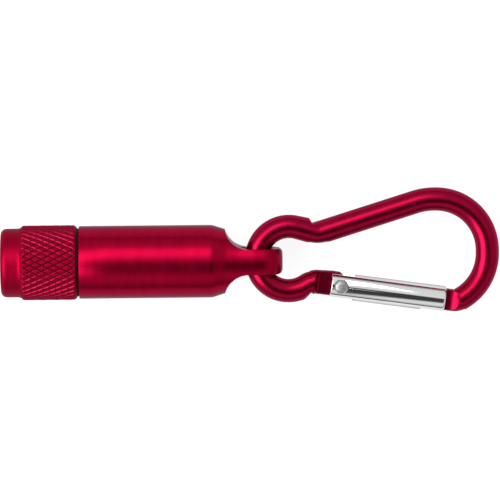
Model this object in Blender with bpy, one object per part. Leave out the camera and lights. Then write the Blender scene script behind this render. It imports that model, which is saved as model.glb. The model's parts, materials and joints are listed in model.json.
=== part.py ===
"""Keychain flashlight: a twist-to-light aluminium torch, head to the left, with a
pear-shaped wire carabiner through the lug at its tail.  It lies on a table.

+X runs along the torch from the lens to the carabiner, +Z is up from the table.
Lengths below are millimetres unless named otherwise; MM turns them into metres.
Along the torch, s is the distance from the front rim of the head.
"""
import math

import bmesh
import bpy
from mathutils import Vector

MM = 0.001

# Where things stand
FRONT_X = -49.905           # world X of the front rim
AXIS_Y = -1.555              # world Y of the torch's axis
AXIS_Z = 7.48               # height of the torch's axis: the knurled band rests on the table
N_OUT = 72                  # sides of the outer round surfaces
N_IN = 36                   # sides of the bores and of the small inner parts

# Head
NOSE_R = 6.88
NOSE_END, FILLET_END = 3.3, 3.95     # the nose's own cylinder ends in a shallow fillet
BAND_START, BAND_END, HEAD_END = 4.75, 14.9, 15.2
CREST_R, ROOT_R = 7.48, 7.14
KNURL_ROWS = 8
LIP_R, LENS_SEAT_R, HEAD_BORE_R = 5.1, 6.0, 6.45
LENS_SEAT_S, BOARD_SEAT_S = 1.0, 9.4
SKIRT_R, SKIRT_S = 6.92, 14.2
# Thread between head and barrel
PITCH = 1.0
THREAD_DEPTH = 0.3
MOUTH, MOUTH_LENGTH = 0.35, 0.4     # countersink where the head's thread starts
NECK_R, BORE_R = 6.35, 6.05
NECK_S, SHOULDER_S = 10.9, 15.6
# Barrel and lug
BARREL_R, TAIL_R = 7.27, 6.44
TAPER_S, LUG_S, END_S = 42.1, 44.9, 56.3
WAIST_S, WAIST_R, LUG_R = 47.5, 6.12, 6.0   # the lug thins a little over its hollows
END_ROUND = 4.4             # rounding of the lug's end, seen from its side
TONGUE_HALF = 2.52
HOLLOW_R = 4.8              # concave flanks milled down to the tongue
HOLLOW_S = 49.5
HOLE_S, HOLE_R = 51.36, 3.1
BORE_END_S = 38.9
# Cells
CELL_R, CELL_PITCH, CELL_FRONT_S, CELLS = 5.8, 5.4, 11.6, 4
# Carabiner, in its own plane; its origin is the middle of the lug hole
WIRE_R = 2.35
DROOP = math.radians(6.34)  # it hangs down until its far end touches the table
LOOP_C, LOOP_R = Vector((6.20, 0.32)), 6.45
BEND_C, BEND_R = Vector((36.02, 1.39)), 10.38
BEND_DROP = 0.62            # the bend's lower quarter is struck from a centre this much lower
EASY_DEG, EASY_R = 82.0, 13.42      # the bend starts with an easier curve, down to this angle
SPINE_DEG = 16.8            # direction of the straight back
NECK_TOP_DEG, NECK_LOW_DEG = -16.0, 29.5
BEND_STOP_DEG = -64.0       # where the round bend ends before the nose
KINK_R = 2.5
GATE_DEG = -8.3
RIVET = Vector((16.46, -5.32))
GATE_R, GATE_START, GATE_END = 2.63, -2.0, 21.4
SLOT_HALF, FLAT_HALF = 1.3, 1.15
SEAT_Z = 2.26               # height of the flat that the rivet's head is peened on
TANG_END = 2.0
LATCH_S = 21.5                # where the wire steps down behind the gate's end
NOSE_TIP = LATCH_S - 3.8


# ---------------------------------------------------------------- mesh tools
class Skin:
    """Faces given by their corners; corners at the same place are one vertex."""

    def __init__(self):
        self.points = []
        self.faces = []
        self.index = {}

    def corner(self, p):
        key = tuple(int(round(c * 20000)) for c in p)
        if key not in self.index:
            self.index[key] = len(self.points)
            self.points.append(tuple(p))
        return self.index[key]

    def face(self, *corners):
        ids = []
        for p in corners:
            i = self.corner(p)
            if i not in ids:
                ids.append(i)
        if len(ids) > 2:
            self.faces.append(ids)

    def band(self, a, b):
        """Joins two closed rings; one of them may have twice the corners."""
        na, nb = len(a), len(b)
        if na == nb:
            for k in range(na):
                self.face(a[k], a[(k + 1) % na], b[(k + 1) % na], b[k])
            return
        if na < nb:
            a, b, na, nb = b, a, nb, na
        for k in range(nb):
            left, mid, right = a[2 * k], a[2 * k + 1], a[(2 * k + 2) % na]
            low, high = b[k], b[(k + 1) % nb]
            self.face(left, mid, low)
            self.face(mid, high, low)
            self.face(mid, right, high)

    def chain(self, rings):
        for a, b in zip(rings, rings[1:]):
            self.band(a, b)

    def cap(self, ring):
        self.face(*ring)

    def build(self, name, finish, place=(0, 0, 0), parent=None, sharp=32):
        """One closed mesh object, faces outward, smooth between shallow angles."""
        mesh = bpy.data.meshes.new(name)
        mesh.from_pydata([Vector(p) * MM for p in self.points], [], self.faces)
        bm = bmesh.new()
        bm.from_mesh(mesh)
        bmesh.ops.recalc_face_normals(bm, faces=bm.faces)
        if bm.calc_volume(signed=True) < 0:
            bmesh.ops.reverse_faces(bm, faces=bm.faces)
        bm.to_mesh(mesh)
        bm.free()
        obj = bpy.data.objects.new(name, mesh)
        bpy.context.collection.objects.link(obj)
        obj.parent = parent
        obj.location = Vector(place) * MM
        mesh.materials.append(finish)
        mesh.shade_smooth()
        mesh.set_sharp_from_angle(angle=math.radians(sharp))
        return obj


def ring(s, r, n=N_IN, axis="X", centre=(0, 0), turn=0.0):
    """Corners of a circle round X, Y or Z at distance s along that axis."""
    out = []
    for k in range(n):
        t = 2 * math.pi * k / n + turn
        u, v = centre[0] + r * math.cos(t), centre[1] + r * math.sin(t)
        out.append({"X": (s, u, v), "Y": (v, s, u), "Z": (u, v, s)}[axis])
    return out


def lathe(profile, n=N_IN, closed=False, axis="X"):
    """Turned body from (s, r) pairs, open on the axis or closed round a hole."""
    skin = Skin()
    rings = [ring(s, r, n, axis) for s, r in profile]
    if closed:
        rings.append(rings[0])
    skin.chain(rings)
    return skin


def thread(skin, start, end, radius, depth, marks, first, last, n=N_IN, mouth=0.0):
    """A helical ridge (or groove) on a bore or neck between two plain rings.

    marks are the places, in pitches, of base, crest, crest and base.  first and
    last are where the thread fades in and out, in turns measured from s = 0.
    mouth widens a bore's last MOUTH_LENGTH to a cone, so its groove runs out open.
    """
    low = int(math.floor(start / PITCH)) - 2
    high = int(math.ceil(end / PITCH)) + 2
    rows = [(m, j) for m in range(low, high) for j in range(4)]

    def point(row, k):
        m, j = rows[row]
        s = (m + marks[j] + k / n) * PITCH
        turns = s / PITCH
        fade = min((turns - first) / 0.3, (last - turns) / 0.3, 1.0)
        lift = depth * max(fade, 0.0) if j in (1, 2) else 0.0
        s = min(max(s, start), end)
        if s in (start, end):
            lift = 0.0
        t = 2 * math.pi * k / n
        flare = mouth * (s - end + MOUTH_LENGTH) / MOUTH_LENGTH
        r = radius + max(lift, flare if mouth else 0.0)
        return (s, r * math.cos(t), r * math.sin(t))

    for row in range(len(rows) - 5):
        for k in range(n):
            a, b = point(row, k), point(row + 1, k)
            if k + 1 < n:
                c, d = point(row + 1, k + 1), point(row, k + 1)
            else:
                c, d = point(row + 5, 0), point(row + 4, 0)
            skin.face(a, b, c)
            skin.face(a, c, d)


def wire(centres, side, radius, n=6):
    """Round wire along a line of centres, closed at both ends."""
    skin = Skin()
    rings = []
    for i, c in enumerate(centres):
        ahead = centres[min(i + 1, len(centres) - 1)] - centres[max(i - 1, 0)]
        out = side(c)
        up = ahead.cross(out).normalized()
        out = up.cross(ahead).normalized()
        rings.append([tuple(c + radius * (out * math.cos(t) + up * math.sin(t)))
                      for t in (2 * math.pi * k / n for k in range(n))])
    skin.chain(rings)
    skin.cap(rings[0])
    skin.cap(rings[-1])
    return skin


def outward(centre):
    """Away from the X axis, which both coils are wound round."""
    return Vector((0, centre.y, centre.z)).normalized()


def box(low, high):
    skin = Skin()
    base = [(low[0], low[1]), (high[0], low[1]), (high[0], high[1]), (low[0], high[1])]
    bottom = [(x, y, low[2]) for x, y in base]
    top = [(x, y, high[2]) for x, y in base]
    skin.band(bottom, top)
    skin.cap(bottom)
    skin.cap(top)
    return skin


def prism(outline, low, high):
    """A flat outline in X and Y, raised along Z."""
    skin = Skin()
    bottom = [(p[0], p[1], low) for p in outline]
    top = [(p[0], p[1], high) for p in outline]
    skin.band(bottom, top)
    skin.cap(bottom)
    skin.cap(top)
    return skin


def finish(name, colour, rough, metal=0.0):
    mat = bpy.data.materials.new(name)
    mat.use_nodes = True
    shader = mat.node_tree.nodes["Principled BSDF"]
    shader.inputs["Base Color"].default_value = (*colour, 1.0)
    shader.inputs["Roughness"].default_value = rough
    shader.inputs["Metallic"].default_value = metal
    return mat


def cut(obj, cutters):
    """Takes each cutter away from the object and applies the cuts."""
    for tool in cutters:
        tool.hide_render = True
        tool.display_type = "WIRE"
        mod = obj.modifiers.new("cut", "BOOLEAN")
        mod.operation = "DIFFERENCE"
        mod.solver = "EXACT"
        mod.object = tool
    bpy.context.view_layer.update()
    graph = bpy.context.evaluated_depsgraph_get()
    mesh = bpy.data.meshes.new_from_object(obj.evaluated_get(graph))
    obj.modifiers.clear()
    obj.data = mesh
    mesh.shade_smooth()
    mesh.set_sharp_from_angle(angle=math.radians(32))
    for tool in cutters:
        bpy.data.objects.remove(tool, do_unlink=True)


def pivot(name, place, parent=None, turn=(0, 0, 0)):
    empty = bpy.data.objects.new(name, None)
    bpy.context.collection.objects.link(empty)
    empty.parent = parent
    empty.location = Vector(place) * MM
    empty.rotation_euler = turn
    return empty


def arc(centre, radius, start_deg, end_deg, steps):
    out = []
    for i in range(steps + 1):
        t = math.radians(start_deg + (end_deg - start_deg) * i / steps)
        out.append(centre + radius * Vector((math.cos(t), math.sin(t))))
    return out


def heading(deg):
    return Vector((math.cos(math.radians(deg)), math.sin(math.radians(deg))))


def meet(p, along_p, q, along_q):
    """Where the line through p meets the line through q."""
    gap = q - p
    t = (gap.x * along_q.y - gap.y * along_q.x) / (along_p.x * along_q.y - along_p.y * along_q.x)
    return p + along_p * t


def fillet(corner, way_in, way_out, radius, steps):
    """Arc of a bend at a corner between two directions of travel, in degrees."""
    turn = (way_out - way_in + 180) % 360 - 180
    side = 1 if turn > 0 else -1
    reach = radius * math.tan(math.radians(abs(turn) / 2))
    start = corner - heading(way_in) * reach
    centre = start + heading(way_in + 90 * side) * radius
    return arc(centre, radius, way_in - 90 * side, way_in - 90 * side + turn, steps)


# ---------------------------------------------------------------- start
for old in list(bpy.data.objects):
    bpy.data.objects.remove(old, do_unlink=True)

RED = finish("anodised_red", (0.31, 0.001, 0.02), 0.3, 1.0)
RED_GLOSS = finish("anodised_red_gloss", (0.31, 0.001, 0.02), 0.16, 1.0)
BRIGHT = finish("bare_aluminium", (0.86, 0.87, 0.88), 0.16, 1.0)
RIVET_METAL = finish("rivet_steel", (0.78, 0.78, 0.78), 0.25, 1.0)
SPRING_STEEL = finish("spring_steel", (0.55, 0.56, 0.58), 0.3, 1.0)
PIN_BRASS = finish("pin_brass", (0.8, 0.6, 0.25), 0.3, 1.0)
CLEAR = finish("clear_acrylic", (0.92, 0.95, 0.97), 0.05)
RUBBER = finish("black_rubber", (0.02, 0.02, 0.02), 0.7)
MIRROR = finish("metallised_plastic", (0.9, 0.9, 0.92), 0.08, 1.0)
EPOXY = finish("clear_epoxy", (0.9, 0.93, 0.95), 0.1)
LEAD = finish("tinned_lead", (0.72, 0.72, 0.7), 0.35, 1.0)
BOARD = finish("board_green", (0.03, 0.22, 0.08), 0.5)
BRASS = finish("contact_brass", (0.83, 0.66, 0.3), 0.28, 1.0)
CHIP = finish("resistor_black", (0.03, 0.03, 0.035), 0.6)
PLUG = finish("holder_nylon", (0.05, 0.05, 0.055), 0.55)
SLEEVE = finish("sleeve_film", (0.85, 0.85, 0.82), 0.5)
CELL_CAN = finish("cell_steel", (0.75, 0.75, 0.74), 0.25, 1.0)
CELL_CAP = finish("cell_cap_steel", (0.68, 0.68, 0.68), 0.3, 1.0)
CELL_SEAL = finish("cell_seal_nylon", (0.1, 0.2, 0.12), 0.6)

TORCH = (FRONT_X, AXIS_Y, AXIS_Z)

# ---------------------------------------------------------------- head
head = Skin()
head.chain([ring(s, r, N_OUT) for s, r in (
    (0.3, LIP_R), (0.0, LIP_R + 0.3), (0.0, 6.1), (0.28, 6.55), (0.7, 6.82), (1.2, NOSE_R),
    (NOSE_END, NOSE_R), (FILLET_END, NOSE_R + 0.13), (4.3, ROOT_R))])


def knurl_ring(row):
    """Crests of the diamonds alternate with the crossings of the two grooves."""
    s = BAND_START + (BAND_END - 0.3 - BAND_START) * row / KNURL_ROWS
    top = CREST_R - 0.08 if row in (0, KNURL_ROWS) else CREST_R
    out = []
    for k in range(N_OUT):
        r = top if (k + row) % 2 == 0 else ROOT_R
        t = 2 * math.pi * k / N_OUT
        out.append((s, r * math.cos(t), r * math.sin(t)))
    return out


knurl = [knurl_ring(row) for row in range(KNURL_ROWS + 1)]
head.band(ring(4.3, ROOT_R, N_OUT), knurl[0])
for row in range(KNURL_ROWS):
    for k in range(N_OUT):
        a, b = knurl[row][k], knurl[row][(k + 1) % N_OUT]
        c, d = knurl[row + 1][(k + 1) % N_OUT], knurl[row + 1][k]
        if (k + row) % 2 == 0:
            head.face(a, b, d)
            head.face(b, c, d)
        else:
            head.face(a, b, c)
            head.face(a, c, d)
head.chain([knurl[-1], ring(BAND_END, ROOT_R, N_OUT), ring(15.05, 7.12, N_OUT),
            ring(HEAD_END, 7.02, N_OUT), ring(HEAD_END, SKIRT_R), ring(SKIRT_S + 0.2, SKIRT_R),
            ring(SKIRT_S, HEAD_BORE_R + MOUTH)])
thread(head, BOARD_SEAT_S + 1.25, SKIRT_S, HEAD_BORE_R, THREAD_DEPTH,
       (-0.0165, 0.2335, 0.5165, 0.7665), 10.7, 14.9, mouth=MOUTH)
head.chain([ring(s, r) for s, r in (
    (BOARD_SEAT_S + 1.25, HEAD_BORE_R), (BOARD_SEAT_S, HEAD_BORE_R),
    (BOARD_SEAT_S, LENS_SEAT_R), (LENS_SEAT_S, LENS_SEAT_R))])
head.band(ring(LENS_SEAT_S, LENS_SEAT_R), ring(LENS_SEAT_S, LIP_R, N_OUT))
head.band(ring(LENS_SEAT_S, LIP_R, N_OUT), ring(0.3, LIP_R, N_OUT))
head.build("head_shell", RED, TORCH)

lathe([(1.06, 0), (1.06, 5.65), (1.25, 5.9), (1.95, 5.9), (2.12, 5.7), (2.12, 0)]
      ).build("lens", CLEAR, TORCH)
lathe([(2.2, 5.4), (2.2, 5.75), (2.35, 5.9), (2.65, 5.9), (2.8, 5.75), (2.8, 5.4),
       (2.65, 5.25), (2.35, 5.25)], closed=True).build("lens_gasket", RUBBER, TORCH)

dish = []
for i in range(6):
    r = 5.1 - (5.1 - 2.65) * i / 5
    dish.append((7.5 - (r * r - 2.65 ** 2) / (5.1 ** 2 - 2.65 ** 2) * 4.6, r))
lathe([(2.9, 5.85), (3.7, 5.85), (3.7, 5.6), (8.3, 3.9), (8.3, 2.65)] + dish[::-1] + [(2.9, 5.25)],
      closed=True).build("reflector", MIRROR, TORCH)

dome = [(7.1 - 2.5 * math.cos(a), 2.5 * math.sin(a)) for a in (math.pi / 2 * i / 5 for i in range(6))]
lathe(dome + [(8.45, 2.5), (8.45, 2.85), (9.3, 2.85), (9.3, 0)], 24).build("led_bulb", EPOXY, TORCH)
lathe([(8.4, 3.0), (8.4, 5.7), (8.6, 5.9), (9.32, 5.9), (9.32, 3.0)], closed=True
      ).build("led_holder", PLUG, TORCH)
for name, y in (("led_lead_plus", 1.3), ("led_lead_minus", -1.3)):
    box((9.34, y - 0.22, -0.22), (10.45, y + 0.22, 0.22)).build(name, LEAD, TORCH)
board = lathe([(9.45, 0), (9.45, 6.4), (10.2, 6.4), (10.2, 0)]).build("led_board", BOARD, TORCH)
cut(board, [box((9, y - 0.3, -0.3), (11, y + 0.3, 0.3)).build("lead_hole", BOARD, TORCH)
            for y in (1.3, -1.3)])
lathe([(10.25, 5.55), (10.25, 6.38), (10.5, 6.38), (10.5, 5.55)], closed=True
      ).build("contact_ring", BRASS, TORCH)
lathe([(10.25, 0), (10.25, 0.85), (11.3, 0.85), (11.45, 0.65), (11.52, 0.3), (11.52, 0)], 18
      ).build("centre_contact", BRASS, TORCH)
box((10.25, -0.8, 2.9), (10.7, 0.8, 3.7)).build("led_resistor", CHIP, TORCH)

# ---------------------------------------------------------------- barrel
barrel = Skin()
barrel.chain([ring(s, r) for s, r in ((NECK_S, BORE_R), (NECK_S, 6.25), (11.0, NECK_R),
                                      (11.2, NECK_R))])
thread(barrel, 11.2, 14.3, NECK_R, THREAD_DEPTH, (0.0, 0.25, 0.5, 0.75), 11.35, 14.2)
barrel.chain([ring(14.3, NECK_R), ring(SHOULDER_S, NECK_R)])
end_arc = []
for i in range(6):
    t = math.pi / 2 * i / 5
    end_arc.append((END_S - END_ROUND + END_ROUND * math.sin(t),
                    LUG_R - END_ROUND + END_ROUND * math.cos(t)))
barrel.chain([ring(SHOULDER_S, NECK_R)] + [ring(s, r, N_OUT) for s, r in (
    (SHOULDER_S, 7.1), (15.78, BARREL_R), (TAPER_S, BARREL_R), (LUG_S, TAIL_R),
    (WAIST_S, WAIST_R))]
    + [ring(s, r, N_OUT) for s, r in end_arc])
barrel.cap(ring(*end_arc[-1], N_OUT))
barrel.chain([ring(NECK_S, BORE_R), ring(BORE_END_S, BORE_R), ring(BORE_END_S + 1.8, 0)])
body = barrel.build("barrel", RED, TORCH)

flank = [(HOLLOW_S + HOLLOW_R * math.cos(t), TONGUE_HALF + HOLLOW_R + HOLLOW_R * math.sin(t))
         for t in (math.radians(a) for a in range(180, 271, 9))]
corner = [(END_S - 1 + math.sin(t), TONGUE_HALF - 1 + math.cos(t))
          for t in (math.radians(a) for a in range(0, 91, 18))]
outline = flank + corner + [(60, 1.5), (60, 12), (HOLLOW_S - HOLLOW_R, 12)]
tools = [prism([(x, y * side) for x, y in outline], -9, 9).build("flank", RED, TORCH)
         for side in (1, -1)]
hole = lathe([(-9, 0), (-9, HOLE_R + 0.45), (-TONGUE_HALF, HOLE_R + 0.45), (-TONGUE_HALF + 0.45, HOLE_R),
              (TONGUE_HALF - 0.45, HOLE_R), (TONGUE_HALF, HOLE_R + 0.45), (9, HOLE_R + 0.45), (9, 0)],
             32, axis="Y")
tools.append(hole.build("lug_hole", RED, (FRONT_X + HOLE_S, AXIS_Y, AXIS_Z)))
cut(body, tools)

lathe([(15.34 + 0.2 * math.cos(t), 6.62 + 0.2 * math.sin(t))
       for t in (2 * math.pi * k / 8 for k in range(8))], closed=True
      ).build("neck_o_ring", RUBBER, TORCH)
lathe([(11.2, 5.87), (11.2, 5.99), (33.6, 5.99), (33.6, 5.87)], closed=True
      ).build("battery_sleeve", SLEEVE, TORCH)

for i in range(CELLS):
    s = CELL_FRONT_S + CELL_PITCH * i
    number = str(i + 1)
    lathe([(s, 0), (s, 5.55), (s + 0.25, CELL_R), (s + 4.65, CELL_R), (s + 4.85, 5.6), (s + 4.85, 5.1),
           (s + 3.9, 5.1), (s + 3.9, 0)], 18).build("cell_" + number + "_can", CELL_CAN, TORCH)
    lathe([(s + 3.95, 4.65), (s + 3.95, 5.02), (s + 4.8, 5.02), (s + 4.8, 4.65)], 18, closed=True
          ).build("cell_" + number + "_seal", CELL_SEAL, TORCH)
    lathe([(s + 3.95, 0), (s + 3.95, 4.58), (s + 5.1, 4.58), (s + 5.34, 4.3), (s + 5.34, 0)], 18
          ).build("cell_" + number + "_cap", CELL_CAP, TORCH)

coil = []
SPRING_S, SPRING_END_S, SPRING_TURNS = 33.5, 38.6, 4.5
steps = int(SPRING_TURNS * 14)
for i in range(steps + 1):
    f = i / steps
    t = 2 * math.pi * SPRING_TURNS * f
    r = 2.4 + (5.3 - 2.4) * f
    coil.append(Vector((SPRING_S + (SPRING_END_S - SPRING_S) * f, r * math.cos(t), r * math.sin(t))))
wire(coil, outward, 0.25, 5).build("tail_spring", SPRING_STEEL, TORCH)

# ---------------------------------------------------------------- carabiner
lug = pivot("carabiner_pivot", (FRONT_X + HOLE_S, AXIS_Y, AXIS_Z), None, (0, DROOP, 0))
ALONG = heading(GATE_DEG)
ACROSS = Vector((-ALONG.y, ALONG.x))


def gate_point(u, v=0.0):
    """A place given along and across the gate, measured from its rivet."""
    return RIVET + ALONG * u + ACROSS * v


loop_low = LOOP_C + LOOP_R * heading(NECK_LOW_DEG - 90)
loop_top = LOOP_C + LOOP_R * heading(NECK_TOP_DEG + 90)
EASY_C = BEND_C + heading(EASY_DEG) * (BEND_R - EASY_R)
bend_top = EASY_C + EASY_R * heading(SPINE_DEG + 90)
low_corner = meet(loop_low, heading(NECK_LOW_DEG), RIVET, ALONG)
top_corner = meet(loop_top, heading(NECK_TOP_DEG), bend_top, heading(SPINE_DEG))
LOW_BEND_C = BEND_C - Vector((0, BEND_DROP))
bend_low = LOW_BEND_C + BEND_R * heading(BEND_STOP_DEG)
nose_corner = meet(bend_low, heading(BEND_STOP_DEG - 90), RIVET, ALONG)
low_kink = fillet(low_corner, GATE_DEG + 180, NECK_LOW_DEG + 180, KINK_R, 4)
nose_kink = fillet(nose_corner, BEND_STOP_DEG - 90, GATE_DEG - 180, KINK_R, 3)

# The wire is walked from its tang round the loop, the back and the bend to its nose.
# Each stop: place, half width, half thickness, squareness, shift to the walk's left
ROUND = (WIRE_R, WIRE_R, 1.0, 0.0)
stops = [
    (gate_point(TANG_END), 1.25, FLAT_HALF, 0.35, 0.0),
    (gate_point(1.2), 1.9, FLAT_HALF, 0.35, 0.0),
    (gate_point(0.45), 2.17, FLAT_HALF, 0.35, -0.03),
    (gate_point(-0.25), 2.5, FLAT_HALF, 0.35, -0.32),
    (gate_point(-1.7), 2.52, FLAT_HALF, 0.35, -0.33),
    (gate_point(-4.4), 2.45, FLAT_HALF, 0.4, -0.2),
    (gate_point(-5.3), WIRE_R + 0.1, 1.85, 0.8, -0.05),
]
stops += [(p, *ROUND) for p in low_kink]
stops += [(p, *ROUND) for p in arc(LOOP_C, LOOP_R, NECK_LOW_DEG - 90, NECK_TOP_DEG - 270, 24)]
stops += [(p, *ROUND) for p in fillet(top_corner, NECK_TOP_DEG, SPINE_DEG, KINK_R, 4)]
stops += [(p, *ROUND) for p in arc(EASY_C, EASY_R, SPINE_DEG + 90, EASY_DEG, 4)]
stops += [(p, *ROUND) for p in arc(BEND_C, BEND_R, EASY_DEG, 0, 9)[1:]]
stops += [(p, *ROUND) for p in arc(LOW_BEND_C, BEND_R, 0, BEND_STOP_DEG, 7)[:-1]]
stops += [(nose_kink[0], *ROUND), (nose_kink[1], *ROUND), (nose_kink[2], WIRE_R, 1.9, 0.85, 0.0)]
stops += [
    (gate_point(LATCH_S + 1.5), 2.25, FLAT_HALF, 0.4, -0.03),
    (gate_point(LATCH_S + 0.1), 2.2, FLAT_HALF, 0.35, -0.03),
    (gate_point(LATCH_S), 1.6, FLAT_HALF, 0.35, 0.45),
    (gate_point(NOSE_TIP + 0.5), 1.6, FLAT_HALF, 0.35, 0.45),
    (gate_point(NOSE_TIP), 1.2, FLAT_HALF - 0.15, 0.35, 0.45),
]
frame = Skin()
rings = []
SECTION = 16
for i, (place, half, thick, square, shift) in enumerate(stops):
    before = stops[max(i - 1, 0)][0]
    after = stops[min(i + 1, len(stops) - 1)][0]
    if 0 < i < len(stops) - 1:
        travel = ((place - before).normalized() + (after - place).normalized()).normalized()
    else:
        travel = (after - before).normalized()
    left = Vector((-travel.y, travel.x))
    section = []
    for k in range(SECTION):
        t = 2 * math.pi * k / SECTION
        c, z = math.cos(t), math.sin(t)
        c = math.copysign(abs(c) ** square, c) if abs(c) > 1e-9 else 0.0
        z = math.copysign(abs(z) ** square, z) if abs(z) > 1e-9 else 0.0
        p = place + left * (half * c + shift)
        section.append((p.x, p.y, thick * z))
    rings.append(section)
frame.chain(rings)
frame.cap(rings[0])
frame.cap(rings[-1])
carabiner = frame.build("carabiner_frame", RED_GLOSS, (0, 0, 0), lug)
rivet_hole = lathe([(-4, 0), (-4, 0.82), (4, 0.82), (4, 0)], 16, axis="Z")
cut(carabiner, [rivet_hole.build("tang_hole", BRIGHT, (RIVET.x, RIVET.y, 0), lug)])

# The gate's own frame: its +X runs from the rivet to the latch, +Y to the inside
hinge = pivot("gate_pivot", (RIVET.x, RIVET.y, 0), lug, (0, 0, math.radians(GATE_DEG)))
rod = lathe([(GATE_START, 0), (GATE_START, 2.4), (GATE_START + 0.25, GATE_R), (GATE_END - 0.5, GATE_R),
             (GATE_END - 0.12, 2.45), (GATE_END, 2.15), (GATE_END, 0)], 26)
gate = rod.build("gate", BRIGHT, (0, 0, 0), hinge)
slot_latch = [(NOSE_TIP - 1.1, -4.0), (NOSE_TIP - 1.0, -1.6), (NOSE_TIP - 0.7, 0.2), (NOSE_TIP - 0.3, 1.0),
              (NOSE_TIP + 0.1, 1.25), (24, 1.25), (24, -4.0)]
hinge_slot = [(-6, -4), (2.9, -4), (2.9, 4), (-6, 4)]
tools = [
    prism(hinge_slot, -SLOT_HALF, SLOT_HALF),
    prism(slot_latch, -SLOT_HALF, SLOT_HALF),
    lathe([(2.0, 0), (2.0, 1.3), (13.2, 1.3), (13.9, 0)], 16),
    lathe([(-4, 0), (-4, 0.82), (4, 0.82), (4, 0)], 16, axis="Z"),
    lathe([(SEAT_Z, 0), (SEAT_Z, 1.45), (4, 1.45), (4, 0)], 20, axis="Z"),
    lathe([(-4, 0), (-4, 1.45), (-SEAT_Z, 1.45), (-SEAT_Z, 0)], 20, axis="Z"),
]
tools = [tool.build("gate_cut", BRIGHT, (0, 0, 0), hinge) for tool in tools]
cut(gate, tools)
dome = [(0.56, 0.0), (0.52, 0.6), (0.34, 1.08), (0.06, 1.33), (0.06, 0.75)]
pin = [(-SEAT_Z - h, r) for h, r in dome] + [(SEAT_Z + h, r) for h, r in dome[::-1]]
lathe(pin, 20, axis="Z").build("gate_rivet", RIVET_METAL, (0, 0, 0), hinge)
lathe([(2.08, 0), (2.08, 0.85), (2.2, 1.0), (4.6, 1.0), (4.6, 0.5), (6.2, 0.5), (6.2, 0)], 16
      ).build("gate_plunger", PIN_BRASS, (0, 0, 0), hinge)
coil = []
GATE_COILS = 6
for i in range(GATE_COILS * 12 + 1):
    t = 2 * math.pi * i / 12
    coil.append(Vector((4.85 + 8.1 * i / (GATE_COILS * 12), 0.9 * math.cos(t), 0.9 * math.sin(t))))
wire(coil, outward, 0.19, 5).build("gate_spring", SPRING_STEEL, (0, 0, 0), hinge)

bpy.context.view_layer.update()
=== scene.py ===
"""Keychain flashlight with its carabiner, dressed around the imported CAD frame.

Lengths below are millimetres, turned into metres by MM.
"""

import json
import math

import bmesh
import bpy
from mathutils import Matrix, Vector


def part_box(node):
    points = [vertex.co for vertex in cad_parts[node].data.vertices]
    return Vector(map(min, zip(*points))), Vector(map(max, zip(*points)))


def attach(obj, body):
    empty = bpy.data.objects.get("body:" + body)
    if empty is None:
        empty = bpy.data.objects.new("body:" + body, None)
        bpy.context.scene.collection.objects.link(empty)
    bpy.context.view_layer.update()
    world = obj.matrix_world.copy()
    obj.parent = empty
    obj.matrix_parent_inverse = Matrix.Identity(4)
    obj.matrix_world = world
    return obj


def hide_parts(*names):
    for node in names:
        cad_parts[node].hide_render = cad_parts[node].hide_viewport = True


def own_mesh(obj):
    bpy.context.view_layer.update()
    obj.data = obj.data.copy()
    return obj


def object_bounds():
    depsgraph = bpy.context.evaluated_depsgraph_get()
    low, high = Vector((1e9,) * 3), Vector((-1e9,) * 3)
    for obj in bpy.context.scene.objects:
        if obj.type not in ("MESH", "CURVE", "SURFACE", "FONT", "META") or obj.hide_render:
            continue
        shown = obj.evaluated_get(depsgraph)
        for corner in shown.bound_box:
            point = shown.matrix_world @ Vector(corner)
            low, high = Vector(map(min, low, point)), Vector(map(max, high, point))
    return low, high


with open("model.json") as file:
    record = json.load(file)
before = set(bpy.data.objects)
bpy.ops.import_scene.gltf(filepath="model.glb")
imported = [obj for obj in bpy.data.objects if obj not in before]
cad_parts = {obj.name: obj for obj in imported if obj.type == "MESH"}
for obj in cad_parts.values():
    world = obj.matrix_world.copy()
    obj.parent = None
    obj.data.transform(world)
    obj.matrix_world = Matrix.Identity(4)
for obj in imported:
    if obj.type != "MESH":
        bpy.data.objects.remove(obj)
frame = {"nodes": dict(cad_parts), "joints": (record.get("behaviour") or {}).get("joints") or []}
cad_low, cad_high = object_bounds()
MM = 0.001

JOINT = {j["name"]: j for j in frame["joints"]}
head_low, head_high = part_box("head_shell")
FRONT_X = head_low.x / MM
AXIS_Y = (head_low.y + head_high.y) / 2 / MM
AXIS_Z = (head_low.z + head_high.z) / 2 / MM
TORCH = Matrix.Translation(Vector((FRONT_X, AXIS_Y, AXIS_Z)) * MM)
normal = Vector(JOINT["gate_open"]["axis"]).normalized()
DROOP = math.atan2(normal.x, normal.z)
LUG = (Matrix.Translation(Vector(JOINT["carabiner_swing"]["pos_m"]))
       @ Matrix.Rotation(DROOP, 4, "Y"))

# Along the torch, _S is a distance from the front rim and _R a distance from the axis.
# Head
NOSE_R, CREST_R = 6.88, 7.48
BAND_START, BAND_END, HEAD_END = 4.75, 14.9, 15.2
KNURL_ROWS, KNURL_AROUND = 8, 36
LAND, CROWN, GROOVE_DEPTH = 0.70, 0.03, 0.17     # of each diamond: flat share, crown, depth
LIP_R, LIP_S, LENS_SEAT_R, HEAD_BORE_R = 5.1, 0.35, 6.0, 6.45
LENS_SEAT_S, BOARD_SEAT_S = 1.0, 9.4
EDGE_R, SKIRT_R, SKIRT_S = 6.98, 6.92, 14.2
BULB_R, BEAM_R, FOCUS_S = 2.5, 5.1, 7.1          # diode dome, wide end of the dish, dome's centre
# Thread
PITCH, THREAD_DEPTH = 1.0, 0.3
THREAD_MARKS, THREAD_PLAY = (0.0, 0.25, 0.5, 0.75), 0.0165
HEAD_THREAD_S, NECK_THREAD_S, NECK_THREAD_END_S = BOARD_SEAT_S + 1.25, 11.2, 14.3
NECK_R, BORE_R, NECK_S, SHOULDER_S = 6.35, 6.05, 10.9, 15.6
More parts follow.
